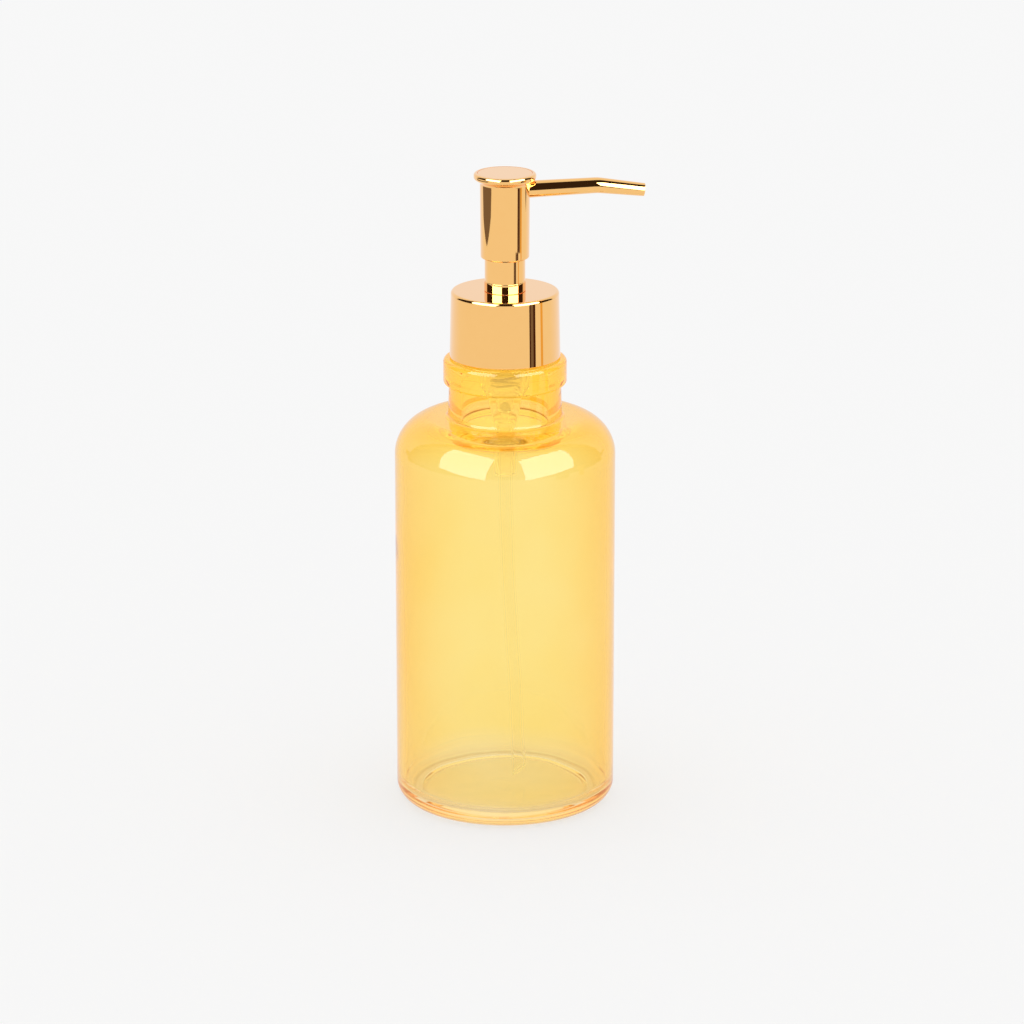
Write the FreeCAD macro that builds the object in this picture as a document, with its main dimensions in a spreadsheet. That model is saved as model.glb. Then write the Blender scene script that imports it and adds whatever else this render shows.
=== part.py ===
import FreeCAD, Part

import math
import os
import re

import Sketcher

# A soap dispenser: an amber glass bottle with a beaded neck and a gold plated lotion pump.
#
# Millimetres. +Z is up, the origin is on the bottle's axis at the surface it stands on, and the
# spout points along +X. Every size and height is a named cell of the sheet "Sizes".

SIZES = {
    # bottle: outside
    "bottle_radius": 37.5,
    "base_panel_height": 0.8,
    "base_panel_radius": 27.0,
    "rest_ring_radius": 28.5,
    "base_rounding": 6.0,
    "shoulder_height": 135.6,
    "shoulder_rounding": 13.0,
    "neck_foot_radius": 19.35,
    "neck_foot_height": 136.3,
    "neck_foot_rounding": 1.3,
    "neck_top_radius": 19.0,
    "bead_bottom": 147.8,
    "bead_radius": 20.9,
    "bead_top": 156.8,
    "bead_rounding": 1.6,
    "bead_lower_rounding": 1.28,
    "bead_foot_rounding": 0.4,
    "finish_radius": 14.9,
    "finish_top": 168.0,
    "finish_rounding": 0.8,
    # bottle: inside
    "cavity_radius": 34.5,
    "floor_height": 4.5,
    "floor_crown": 1.1,
    "floor_rounding": 4.5,
    "cavity_top": 131.4,
    "cavity_rounding": 10.0,
    "throat_radius": 15.0,
    "throat_rounding": 1.5,
    "throat_top": 152.0,
    "mouth_radius": 11.9,
    "mouth_bottom": 157.5,
    # screw thread of the glass and of the closure
    "thread_pitch": 4.23,
    "thread_turns": 1.25,
    "glass_thread_start": 160.3,
    "thread_root_bury": 0.2,
    "glass_crest_radius": 16.05,
    "glass_root_half": 1.15,
    "glass_crest_half": 0.55,
    "thread_drop": 1.6,
    "closure_thread_turns": 1.1,
    "closure_crest_radius": 15.25,
    "closure_root_half": 0.95,
    "closure_crest_half": 0.45,
    # gasket
    "gasket_bore": 12.2,
    "gasket_radius": 14.6,
    "gasket_thickness": 1.2,
    # pump housing
    "flange_radius": 15.4,
    "flange_thickness": 1.4,
    "spigot_radius": 9.6,
    "spigot_top": 175.0,
    "counterbore": 8.0,
    "counterbore_bottom": 167.2,
    "housing_throat_radius": 9.4,
    "housing_throat_bottom": 164.0,
    "housing_throat_top": 165.2,
    "housing_radius": 8.2,
    "housing_bottom": 147.0,
    "barrel_bore": 6.4,
    "barrel_floor": 146.0,
    "cage_bore": 4.6,
    "cage_floor": 143.0,
    "funnel_radius": 5.8,
    "funnel_height": 143.5,
    "valve_body_radius": 5.0,
    "valve_body_height": 138.6,
    "ball_chamber": 2.6,
    "seat_top": 139.0,
    "seat_bottom": 137.7,
    "inlet_passage": 1.3,
    "socket_top": 134.0,
    "socket_bore": 2.42,
    "tail_radius": 3.7,
    "tail_tip_radius": 3.6,
    "tail_height": 133.4,
    "tail_bottom": 118.0,
    "vent_radius": 0.5,
    "vent_length": 10.4,
    "vent_height": 164.4,
    # chaplet
    "skirt_bore": 9.9,
    "skirt_radius": 11.6,
    "skirt_bottom": 172.4,
    "skirt_roof": 175.2,
    "web_top": 176.4,
    "plug_radius": 7.95,
    "plug_web": 2.0,
    "guide_radius": 6.4,
    "guide_bore": 5.2,
    "guide_top": 194.4,
    "web_hole": 3.4,
    # sleeve and wiper
    "sleeve_bore": 6.43,
    "sleeve_radius": 6.84,
    "sleeve_top": 194.8,
    "sleeve_rounding": 0.2,
    "ring_radius": 7.0,
    "ring_bottom": 180.1,
    "ring_top": 183.4,
    "ring_rounding": 0.3,
    "wiper_thickness": 1.4,
    "wiper_bore": 3.25,
    # dip tube
    "tube_radius": 2.4,
    "tube_bore": 1.7,
    "tube_top": 132.0,
    "tube_bend_height": 100.0,
    "tube_bend_radius": 600.0,
    "tube_foot_offset": 5.0,
    "tube_foot": 7.6,
    # ball valve
    "cage_radius": 4.55,
    "cage_inner": 2.2,
    "cage_height": 2.6,
    "cage_bar_length": 2.6,
    "cage_bar_width": 1.2,
    "cage_bar_height": 1.0,
    "ball_radius": 2.0,
    "ball_height": 139.25,
    # spring
    "spring_radius": 4.75,
    "spring_wire": 0.4,
    "spring_seat_gap": 0.02,
    "spring_turns": 5.0,
    # closure and collar shell
    "closure_bore": 16.45,
    "closure_radius": 17.2,
    "closure_bottom": 157.6,
    "closure_top": 172.2,
    "panel_thickness": 1.55,
    "rib_root_radius": 17.0,
    "rib_radius": 17.6,
    "rib_width": 0.7,
    "rib_margin": 0.6,
    "rib_count": 36,
    "collar_bottom_radius": 18.75,
    "collar_top_radius": 18.25,
    "collar_bottom": 157.3,
    "collar_top": 180.0,
    "collar_wall": 0.6,
    "collar_plate": 0.8,
    "collar_rounding": 1.0,
    "collar_foot_rounding": 0.2,
    "collar_inner_rounding": 0.5,
    "collar_hole": 6.55,
    # edges of the plastic mouldings
    "moulded_edge": 0.3,
    "lead_in": 0.4,
    # piston, rod and stem
    "piston_radius": 6.36,
    "piston_waist": 5.3,
    "piston_bottom": 160.45,
    "piston_lip": 1.3,
    "piston_taper": 0.8,
    "piston_top": 167.0,
    "piston_rod_bore": 2.25,
    "piston_shelf": 163.4,
    "rod_disc_radius": 5.2,
    "rod_disc_bottom": 159.0,
    "rod_disc_top": 160.4,
    "rod_radius": 2.05,
    "rod_top": 175.0,
    "flute_floor": 1.25,
    "flute_reach": 2.35,
    "flute_width": 0.9,
    "flute_end": 173.0,
    "stem_radius": 3.2,
    "stem_bore": 2.1,
    "stem_bottom": 163.9,
    "stem_top": 206.0,
    # head
    "boss_radius": 4.9,
    "boss_bottom": 193.0,
    "core_radius": 7.15,
    "core_bottom": 203.0,
    "core_top": 218.0,
    "core_socket": 3.22,
    "core_bore_top": 216.6,
    "shell_bottom_radius": 8.2,
    "shell_top_radius": 8.4,
    "shell_bottom": 191.4,
    "shell_edge_rounding": 0.6,
    "shell_bore": 7.2,
    "shell_roof": 218.2,
    "flare_bottom": 217.0,
    "flare_rounding": 1.5,
    "rim_radius": 10.5,
    "rim_bottom": 218.6,
    "rim_rounding": 0.8,
    "head_top": 220.4,
    "disc_recess": 9.25,
    "disc_radius": 9.2,
    "disc_bottom": 219.6,
    "disc_rounding": 0.2,
    # spout: three points of its centre line, and its radii there
    "spout_root_offset": 7.6,
    "spout_root_height": 214.6,
    "spout_bend_offset": 31.1,
    "spout_bend_height": 215.55,
    "spout_tip_offset": 46.9,
    "spout_tip_height": 213.65,
    "spout_root_radius": 2.88,
    "spout_bend_radius": 2.65,
    "spout_tip_radius": 2.2,
    "spout_bore": 1.6,
    "bore_overrun": 1.0,
    "liner_radius": 1.55,
    "liner_bore": 1.0,
    "liner_start": 5.0,
    "liner_end": 45.9,
}

NAME = re.compile(r"[a-z][a-z_0-9]*")
ON_HORIZONTAL_AXIS = -1
ON_VERTICAL_AXIS = -2
START, END = 1, 2
SAME_PLACE = 1e-9

doc = FreeCAD.newDocument("soap_dispenser")
sheet = doc.addObject("Spreadsheet::Sheet", "Sizes")
for row, (alias, size) in enumerate(SIZES.items(), start=1):
    sheet.set(f"A{row}", alias)
    sheet.set(f"B{row}", str(size))
    sheet.setAlias(f"B{row}", alias)
doc.recompute()


# ---- sizes -----------------------------------------------------------------------------------


def value(expression):
    """The number that an expression of sheet names stands for."""
    return float(sheet.evalExpression(expression))


def tied(expression):
    """The same expression as another object has to write it."""
    return NAME.sub(lambda name: f"Sizes.{name.group(0)}", expression)


def bind(obj, **properties):
    """Ties properties of an object to expressions of the sheet."""
    for name, expression in properties.items():
        obj.setExpression(name, tied(expression))


# ---- sketches --------------------------------------------------------------------------------


def new_body(label):
    body = doc.addObject("PartDesign::Body", label)
    body.Label = label
    return body


def sketch_on(body, name, role, lift=None):
    """A sketch on one of a body's own origin planes, lifted off it where a height is given."""
    sketch = body.newObject("Sketcher::SketchObject", name)
    plane = next(item for item in body.Origin.OriginFeatures if item.Role == role)
    sketch.AttachmentSupport = [(plane, "")]
    sketch.MapMode = "FlatFace"
    if lift:
        sketch.setExpression("AttachmentOffset.Base.z", tied(lift))
    return sketch


def dimension(sketch, kind, *places, size):
    """A sketch dimension tied to the sheet."""
    index = sketch.addConstraint(Sketcher.Constraint(kind, *places, value(size)))
    sketch.setExpression(f"Constraints[{index}]", tied(size))


def pin_point(sketch, geometry, end, across, up):
    """Fixes a sketch point at two expressions, measured from the origin."""
    across_rule = ("DistanceX", across, ON_VERTICAL_AXIS)
    up_rule = ("DistanceY", up, ON_HORIZONTAL_AXIS)
    for kind, size, axis in (across_rule, up_rule):
        if abs(value(size)) < SAME_PLACE:
            sketch.addConstraint(Sketcher.Constraint("PointOnObject", geometry, end, axis))
        elif value(size) > 0:
            dimension(sketch, kind, -1, 1, geometry, end, size=size)
        else:
            dimension(sketch, kind, geometry, end, -1, 1, size=f"-({size})")


def rounded_corner(before, corner, after, radius):
    """Where an arc of that radius leaves the run before a corner and joins the run after it."""
    back = (before - corner).normalize()
    on = (after - corner).normalize()
    half = back.getAngle(on) / 2
    centre = corner + (back + on).normalize() * (radius / math.sin(half))
    reach = radius / math.tan(half)
    middle = centre + (corner - centre).normalize() * radius
    return corner + back * reach, middle, corner + on * reach


def draw(sketch, corners, closed=True):
    """Straight runs from corner to corner, with an arc at each corner that names a rounding.

    A corner is (across, up) or (across, up, rounding), all expressions of the sheet.
    """
    points = [FreeCAD.Vector(value(corner[0]), value(corner[1]), 0) for corner in corners]
    count = len(points)
    arrive, leave, arcs = list(points), list(points), {}
    for place, corner in enumerate(corners):
        if len(corner) == 3:
            neighbours = points[place - 1], points[(place + 1) % count]
            arrive[place], middle, leave[place] = rounded_corner(
                neighbours[0], points[place], neighbours[1], value(corner[2])
            )
            arcs[place] = Part.Arc(arrive[place], middle, leave[place])
    runs = [
        sketch.addGeometry(Part.LineSegment(leave[place], arrive[(place + 1) % count]), False)
        for place in range(count if closed else count - 1)
    ]
    for place, corner in enumerate(corners):
        if not closed and place == count - 1:
            pin_point(sketch, runs[-1], END, corner[0], corner[1])
            continue
        if not closed and place == 0:
            pin_point(sketch, runs[0], START, corner[0], corner[1])
            continue
        before, after = runs[place - 1], runs[place]
        if place not in arcs:
            sketch.addConstraint(Sketcher.Constraint("Coincident", before, END, after, START))
            pin_point(sketch, after, START, corner[0], corner[1])
            continue
        arc = sketch.addGeometry(arcs[place], False)
        near = START if sketch.getPoint(arc, START).distanceToPoint(arrive[place]) < 1e-6 else END
        far = END if near == START else START
        sketch.addConstraint(Sketcher.Constraint("Tangent", before, END, arc, near))
        sketch.addConstraint(Sketcher.Constraint("Tangent", arc, far, after, START))
        dimension(sketch, "Radius", arc, size=corner[2])
        mark = sketch.addGeometry(Part.Point(points[place]), True)
        sketch.addConstraint(Sketcher.Constraint("PointOnObject", mark, START, before))
        sketch.addConstraint(Sketcher.Constraint("PointOnObject", mark, START, after))
        pin_point(sketch, mark, START, corner[0], corner[1])


def circle(sketch, across, up, radius):
    """A circle tied to the sheet."""
    centre = FreeCAD.Vector(value(across), value(up), 0)
    ring = sketch.addGeometry(Part.Circle(centre, FreeCAD.Vector(0, 0, 1), value(radius)), False)
    dimension(sketch, "Radius", ring, size=radius)
    pin_point(sketch, ring, 3, across, up)


def block(low_x, low_y, high_x, high_y):
    """The four corners of a rectangle."""
    return [(low_x, low_y), (high_x, low_y), (high_x, high_y), (low_x, high_y)]


# ---- features --------------------------------------------------------------------------------


def turned(label, corners):
    """A body turned about Z from its half section; each corner is (radius, height[, rounding])."""
    body = new_body(label)
    section = sketch_on(body, f"{label}_section", "XZ_Plane")
    draw(section, corners)
    turn = body.newObject("PartDesign::Revolution", f"{label}_turn")
    turn.Profile = section
    turn.ReferenceAxis = (section, ["V_Axis"])
    turn.Angle = 360
    section.Visibility = False
    return body


def add_thread(body, corners, turns):
    """A right-hand thread whose section starts in the XZ plane."""
    section = sketch_on(body, f"{body.Label}_thread_section", "XZ_Plane")
    draw(section, corners)
    thread = body.newObject("PartDesign::AdditiveHelix", f"{body.Label}_thread")
    thread.Profile = section
    thread.ReferenceAxis = (section, ["V_Axis"])
    thread.Mode = "pitch-turns-angle"
    bind(thread, Pitch="thread_pitch", Turns=turns)


def add_block(body, name, corners, bottom, height):
    """A pad upwards from a level."""
    section = sketch_on(body, f"{name}_section", "XY_Plane", bottom)
    draw(section, corners)
    pad = body.newObject("PartDesign::Pad", name)
    pad.Profile = section
    bind(pad, Length=height)
    return pad


def cut_block(body, name, corners, bottom, height):
    """A pocket upwards from a level."""
    section = sketch_on(body, f"{name}_section", "XY_Plane", bottom)
    draw(section, corners)
    pocket = body.newObject("PartDesign::Pocket", name)
    pocket.Profile = section
    pocket.Reversed = True
    bind(pocket, Length=height)
    return pocket


def repeat_around(body, feature, count):
    """The same feature again and again around Z."""
    pattern = body.newObject("PartDesign::PolarPattern", f"{feature.Name}_pattern")
    pattern.Originals = [feature]
    pattern.Axis = (feature.Profile[0], ["N_Axis"])
    pattern.Angle = 360
    bind(pattern, Occurrences=count)
    body.Tip = pattern
    return pattern


def aim(feature, start, end):
    """Puts a cone's or cylinder's base at one point and its axis through another, both in the XZ plane."""
    (start_x, start_z), (end_x, end_z) = start, end
    feature.MapMode = "Deactivated"
    across, up = f"({end_x} - ({start_x}))", f"({end_z} - ({start_z}))"
    feature.Placement.Rotation = FreeCAD.Rotation(FreeCAD.Vector(0, 1, 0), 45)
    feature.setExpression(".Placement.Base.x", tied(start_x))
    feature.setExpression(".Placement.Base.z", tied(start_z))
    turn = f"90 deg - atan({tied(up)} / {tied(across)})"
    feature.setExpression(".Placement.Rotation.Angle", turn)
    feature.setExpression("Height", f"sqrt({tied(across)}^2 + {tied(up)}^2)")


def add_cone(body, name, start, end, start_radius, end_radius):
    cone = body.newObject("PartDesign::AdditiveCone", name)
    bind(cone, Radius1=start_radius, Radius2=end_radius)
    aim(cone, start, end)


def add_rod(body, name, start, end, radius):
    rod = body.newObject("PartDesign::AdditiveCylinder", name)
    bind(rod, Radius=radius)
    aim(rod, start, end)


def bore_along(body, name, start, end, radius):
    bore = body.newObject("PartDesign::SubtractiveCylinder", name)
    bind(bore, Radius=radius)
    aim(bore, start, end)


def ball_at(body, kind, name, centre, radius):
    """A sphere that adds to a body or is taken from it, as kind says."""
    ball = body.newObject(f"PartDesign::{kind}Sphere", name)
    ball.MapMode = "Deactivated"
    bind(ball, Radius=radius)
    ball.setExpression(".Placement.Base.x", tied(centre[0]))
    ball.setExpression(".Placement.Base.z", tied(centre[1]))
    return ball


# ---- the glass -------------------------------------------------------------------------------


def bottle():
    """Glass: recessed base panel, straight wall, round shoulder, beaded neck and screw finish."""
    body = turned("bottle", [
        ("0", "base_panel_height"),
        ("base_panel_radius", "base_panel_height"),
        ("rest_ring_radius", "0"),
        ("bottle_radius", "0", "base_rounding"),
        ("bottle_radius", "shoulder_height", "shoulder_rounding"),
        ("neck_foot_radius", "neck_foot_height", "neck_foot_rounding"),
        ("neck_top_radius", "bead_bottom", "bead_foot_rounding"),
        ("bead_radius", "bead_bottom", "bead_lower_rounding"),
        ("bead_radius", "bead_top", "bead_rounding"),
        ("finish_radius", "bead_top"),
        ("finish_radius", "finish_top", "finish_rounding"),
        ("mouth_radius", "finish_top", "finish_rounding"),
        ("mouth_radius", "mouth_bottom", "throat_rounding"),
        ("throat_radius", "throat_top", "throat_rounding"),
        ("throat_radius", "cavity_top", "throat_rounding"),
        ("cavity_radius", "cavity_top", "cavity_rounding"),
        ("cavity_radius", "floor_height", "floor_rounding"),
        ("0", "floor_height + floor_crown"),
    ])
    root, start = "finish_radius - thread_root_bury", "glass_thread_start"
    add_thread(body, [
        (root, f"{start} - glass_root_half"),
        ("glass_crest_radius", f"{start} - glass_crest_half"),
        ("glass_crest_radius", f"{start} + glass_crest_half"),
        (root, f"{start} + glass_root_half"),
    ], "thread_turns")
    return body


def neck_gasket():
    return turned("neck_gasket", [
        ("gasket_bore", "finish_top"),
        ("gasket_radius", "finish_top"),
        ("gasket_radius", "finish_top + gasket_thickness"),
        ("gasket_bore", "finish_top + gasket_thickness"),
    ])


# ---- the pump that stays still ---------------------------------------------------------------


def pump_housing():
    """The cylinder: flange on the gasket, barrel, cage bore, ball seat and tube socket."""
    flange = "finish_top + gasket_thickness"
    body = turned("pump_housing", [
        ("tail_tip_radius", "tail_bottom"),
        ("tail_radius", "tail_height"),
        ("valve_body_radius", "valve_body_height"),
        ("funnel_radius", "funnel_height"),
        ("housing_radius", "housing_bottom"),
        ("housing_radius", "housing_throat_bottom"),
        ("housing_throat_radius", "housing_throat_top"),
        ("housing_throat_radius", flange),
        ("flange_radius", flange),
        ("flange_radius", f"{flange} + flange_thickness"),
        ("spigot_radius", f"{flange} + flange_thickness"),
        ("spigot_radius", "spigot_top"),
        ("counterbore", "spigot_top"),
        ("counterbore", "counterbore_bottom"),
        ("barrel_bore", "counterbore_bottom"),
        ("barrel_bore", "barrel_floor"),
        ("cage_bore", "barrel_floor"),
        ("cage_bore", "cage_floor"),
        ("ball_chamber", "cage_floor"),
        ("ball_chamber", "seat_top"),
        ("inlet_passage", "seat_bottom"),
        ("inlet_passage", "socket_top"),
        ("socket_bore", "socket_top"),
        ("socket_bore", "tail_bottom"),
    ])
    vent = body.newObject("PartDesign::SubtractiveCylinder", "vent_hole")
    vent.MapMode = "Deactivated"
    vent.Placement = FreeCAD.Placement(
        FreeCAD.Vector(0, 0, 0), FreeCAD.Rotation(FreeCAD.Vector(1, 0, 0), -90)
    )
    bind(vent, Radius="vent_radius", Height="vent_length")
    vent.setExpression(".Placement.Base.z", tied("vent_height"))
    return body


def chaplet():
    """Plug in the housing, skirt over the closure's panel and a guide tube for the head."""
    return turned("chaplet", [
        ("web_hole", "counterbore_bottom"),
        ("plug_radius", "counterbore_bottom"),
        ("plug_radius", "skirt_roof"),
        ("skirt_bore", "skirt_roof"),
        ("skirt_bore", "skirt_bottom"),
        ("skirt_radius", "skirt_bottom"),
        ("skirt_radius", "web_top"),
        ("guide_radius", "web_top"),
        ("guide_radius", "guide_top"),
        ("guide_bore", "guide_top"),
        ("guide_bore", "counterbore_bottom + plug_web"),
        ("web_hole", "counterbore_bottom + plug_web"),
    ])


def neck_sleeve():
    """Gold sleeve with its base ring, pushed over the guide tube."""
    return turned("neck_sleeve", [
        ("sleeve_bore", "ring_bottom"),
        ("ring_radius", "ring_bottom"),
        ("ring_radius", "ring_top", "ring_rounding / 2"),
        ("sleeve_radius", "ring_top"),
        ("sleeve_radius", "sleeve_top", "sleeve_rounding"),
        ("sleeve_bore", "sleeve_top"),
    ])


def stem_wiper():
    base = "counterbore_bottom + plug_web"
    return turned("stem_wiper", [
        ("wiper_bore", base),
        ("guide_bore", base),
        ("guide_bore", f"{base} + wiper_thickness"),
        ("wiper_bore", f"{base} + wiper_thickness"),
    ])


def dip_tube():
    """A hose that leaves the socket straight and leans out to the side of the floor."""
    body = new_body("dip_tube")
    section = sketch_on(body, "dip_tube_section", "XY_Plane", "tube_top")
    circle(section, "0", "0", "tube_radius")
    circle(section, "0", "0", "tube_bore")
    route = sketch_on(body, "dip_tube_route", "XZ_Plane")
    draw(route, [
        ("0", "tube_top"),
        ("0", "tube_bend_height", "tube_bend_radius"),
        ("tube_foot_offset", "tube_foot"),
    ], closed=False)
    doc.recompute()
    hose = body.newObject("PartDesign::AdditivePipe", "dip_tube_hose")
    hose.Profile = section
    hose.Spine = (route, [f"Edge{number}" for number in (1, 2, 3)])
    tip = sketch_on(body, "dip_tube_tip", "XZ_Plane")
    draw(tip, [
        ("tube_foot_offset - 2 * tube_radius", "tube_foot - tube_radius"),
        ("tube_foot_offset + 2 * tube_radius", "tube_foot - tube_radius"),
        ("tube_foot_offset + 2 * tube_radius", "tube_foot + 2 * tube_radius"),
    ])
    oblique = body.newObject("PartDesign::Pocket", "dip_tube_oblique_end")
    oblique.Profile = tip
    oblique.Type = "ThroughAll"
    oblique.Midplane = True
    return body


def ball_cage():
    """A ring pressed under the barrel whose four bars stop the ball."""
    body = turned("ball_cage", [
        ("cage_inner", "cage_floor"),
        ("cage_radius", "cage_floor"),
        ("cage_radius", "cage_floor + cage_height"),
        ("cage_inner", "cage_floor + cage_height"),
    ])
    bar = add_block(
        body,
        "cage_bar",
        block("0", "-cage_bar_width / 2", "cage_bar_length", "cage_bar_width / 2"),
        "cage_floor",
        "cage_bar_height",
    )
    repeat_around(body, bar, "4")
    return body


def return_spring():
    """A compression spring between the barrel's floor and the rod's disc."""
    body = new_body("return_spring")
    section = sketch_on(body, "return_spring_section", "XZ_Plane")
    seat = "barrel_floor + spring_wire + spring_seat_gap"
    circle(section, "spring_radius", seat, "spring_wire")
    coil = body.newObject("PartDesign::AdditiveHelix", "return_spring_coil")
    coil.Profile = section
    coil.ReferenceAxis = (section, ["V_Axis"])
    coil.Mode = "height-turns-angle"
    bind(coil, Turns="spring_turns")
    bind(coil, Height="rod_disc_bottom - barrel_floor - 2 * spring_wire - 2 * spring_seat_gap")
    return body


def inlet_ball():
    body = new_body("inlet_ball")
    ball_at(body, "Additive", "inlet_ball_steel", ("0", "ball_height"), "ball_radius")
    return body


# ---- the screw collar ------------------------------------------------------------------------


def closure():
    """The threaded cap; its panel is held between the housing's flange and the chaplet."""
    panel = "closure_top - panel_thickness"
    body = turned("closure", [
        ("closure_bore", "closure_bottom"),
        ("closure_radius", "closure_bottom"),
        ("closure_radius", "closure_top", "moulded_edge"),
        ("skirt_bore", "closure_top"),
        ("skirt_bore", panel),
        ("closure_bore", panel),
    ])
    root, start = "closure_bore + thread_root_bury", "glass_thread_start - thread_drop"
    add_thread(body, [
        (root, f"{start} - closure_root_half"),
        ("closure_crest_radius", f"{start} - closure_crest_half"),
        ("closure_crest_radius", f"{start} + closure_crest_half"),
        (root, f"{start} + closure_root_half"),
    ], "closure_thread_turns")
    rib = add_block(
        body,
        "closure_rib",
        block("rib_root_radius", "-rib_width / 2", "rib_radius", "rib_width / 2"),
        "closure_bottom + rib_margin",
        "closure_top - closure_bottom - 2 * rib_margin",
    )
    repeat_around(body, rib, "rib_count")
    return body


def collar_shell():
    """The gold shell over the closure, slightly wider at its foot."""
    return turned("collar_shell", [
        ("collar_bottom_radius - collar_wall", "collar_bottom"),
        ("collar_bottom_radius", "collar_bottom", "collar_foot_rounding"),
        ("collar_top_radius", "collar_top", "collar_rounding"),
        ("collar_hole", "collar_top"),
        ("collar_hole", "collar_top - collar_plate"),
        ("collar_top_radius - collar_wall", "collar_top - collar_plate", "collar_inner_rounding"),
    ])


# ---- the piston and the rod ------------------------------------------------------------------


def piston():
    """Two sealing lips around a waist; its lower edge closes on the rod's disc."""
    return turned("piston", [
        ("piston_rod_bore", "piston_bottom"),
        ("piston_radius", "piston_bottom"),
        ("piston_radius", "piston_bottom + piston_lip"),
        ("piston_waist", "piston_bottom + piston_lip + piston_taper"),
        ("piston_waist", "piston_top - piston_lip - piston_taper"),
        ("piston_radius", "piston_top - piston_lip"),
        ("piston_radius", "piston_top"),
        ("wiper_bore", "piston_top"),
        ("wiper_bore", "piston_shelf"),
        ("piston_rod_bore", "piston_shelf"),
    ])


def piston_rod():
    """A disc under the piston and a fluted rod held in the stem."""
    body = turned("piston_rod", [
        ("0", "rod_disc_bottom"),
        ("rod_disc_radius", "rod_disc_bottom", "moulded_edge"),
        ("rod_disc_radius", "rod_disc_top"),
        ("rod_radius", "rod_disc_top"),
        ("rod_radius", "rod_top", "lead_in"),
        ("0", "rod_top"),
    ])
    flute = cut_block(
        body,
        "rod_flute",
        block("flute_floor", "-flute_width / 2", "flute_reach", "flute_width / 2"),
        "rod_disc_top",
        "flute_end - rod_disc_top",
    )
    repeat_around(body, flute, "4")
    return body


def piston_stem():
    return turned("piston_stem", [
        ("stem_bore", "stem_bottom"),
        ("stem_radius", "stem_bottom"),
        ("stem_radius", "stem_top"),
        ("stem_bore", "stem_top"),
    ])


# ---- the head --------------------------------------------------------------------------------

SPOUT_ROOT = ("spout_root_offset", "spout_root_height")
SPOUT_BEND = ("spout_bend_offset", "spout_bend_height")
SPOUT_TIP = ("spout_tip_offset", "spout_tip_height")
FIRST_RISE = "(spout_bend_height - spout_root_height) / (spout_bend_offset - spout_root_offset)"
LAST_RISE = "(spout_tip_height - spout_bend_height) / (spout_tip_offset - spout_bend_offset)"


def on_first_run(offset):
    """The point of the spout's first straight run at that distance from the bottle's axis."""
    return offset, f"spout_root_height + ({offset} - spout_root_offset) * {FIRST_RISE}"


def on_last_run(offset):
    """The point of the spout's last straight run at that distance from the bottle's axis."""
    return offset, f"spout_bend_height + ({offset} - spout_bend_offset) * {LAST_RISE}"


def head_core():
    """Plastic core: socket for the stem, guide boss and the channel to the spout."""
    body = turned("head_core", [
        ("core_socket", "boss_bottom"),
        ("boss_radius", "boss_bottom", "moulded_edge"),
        ("boss_radius", "core_bottom"),
        ("core_radius", "core_bottom"),
        ("core_radius", "core_top", "lead_in"),
        ("0", "core_top"),
        ("0", "core_bore_top"),
        ("stem_bore", "core_bore_top"),
        ("stem_bore", "stem_top"),
        ("core_socket", "stem_top"),
    ])
    past_core = on_first_run("(core_radius + bore_overrun)")
    bore_along(body, "core_channel", on_first_run("0"), past_core, "spout_bore")
    return body


def head_shell():
    """Gold shell with its flared rim, a recess for the disc and the bent, tapered spout."""
    body = turned("head_shell", [
        ("shell_bore", "shell_bottom"),
        ("shell_bottom_radius", "shell_bottom", "shell_edge_rounding"),
        ("shell_top_radius", "flare_bottom", "flare_rounding"),
        ("rim_radius", "rim_bottom", "rim_rounding"),
        ("rim_radius", "head_top", "rim_rounding"),
        ("disc_recess", "head_top"),
        ("disc_recess", "disc_bottom"),
        ("0", "disc_bottom"),
        ("0", "shell_roof"),
        ("shell_bore", "shell_roof"),
    ])
    add_cone(body, "spout_first_run", SPOUT_ROOT, SPOUT_BEND, "spout_root_radius", "spout_bend_radius")
    add_cone(body, "spout_last_run", SPOUT_BEND, SPOUT_TIP, "spout_bend_radius", "spout_tip_radius")
    ball_at(body, "Additive", "spout_elbow", SPOUT_BEND, "spout_bend_radius")
    past_tip = on_last_run("(spout_tip_offset + bore_overrun)")
    inside_core = on_first_run("(core_radius - bore_overrun)")
    bore_along(body, "spout_first_bore", inside_core, SPOUT_BEND, "spout_bore")
    bore_along(body, "spout_last_bore", SPOUT_BEND, past_tip, "spout_bore")
    ball_at(body, "Subtractive", "spout_elbow_bore", SPOUT_BEND, "spout_bore")
    return body


def spout_liner():
    """A thin plastic tube through the core's channel and the spout."""
    body = new_body("spout_liner")
    inside, outside = on_first_run("liner_start"), on_last_run("liner_end")
    add_rod(body, "liner_first_run", inside, SPOUT_BEND, "liner_radius")
    add_rod(body, "liner_last_run", SPOUT_BEND, outside, "liner_radius")
    ball_at(body, "Additive", "liner_elbow", SPOUT_BEND, "liner_radius")
    before = on_first_run("(liner_start - bore_overrun)")
    beyond = on_last_run("(liner_end + bore_overrun)")
    bore_along(body, "liner_first_bore", before, SPOUT_BEND, "liner_bore")
    bore_along(body, "liner_last_bore", SPOUT_BEND, beyond, "liner_bore")
    ball_at(body, "Subtractive", "liner_elbow_bore", SPOUT_BEND, "liner_bore")
    return body


def top_disc():
    return turned("top_disc", [
        ("0", "disc_bottom"),
        ("disc_radius", "disc_bottom"),
        ("disc_radius", "head_top", "disc_rounding"),
        ("0", "head_top"),
    ])


# ---- build, check and write ------------------------------------------------------------------

SUB_PARTS = [
    bottle, neck_gasket, pump_housing, chaplet, neck_sleeve, stem_wiper, dip_tube, ball_cage,
    return_spring, inlet_ball, closure, collar_shell, piston, piston_rod, piston_stem, head_core,
    head_shell, spout_liner, top_disc,
]

built = [make() for make in SUB_PARTS]
doc.recompute()

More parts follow.
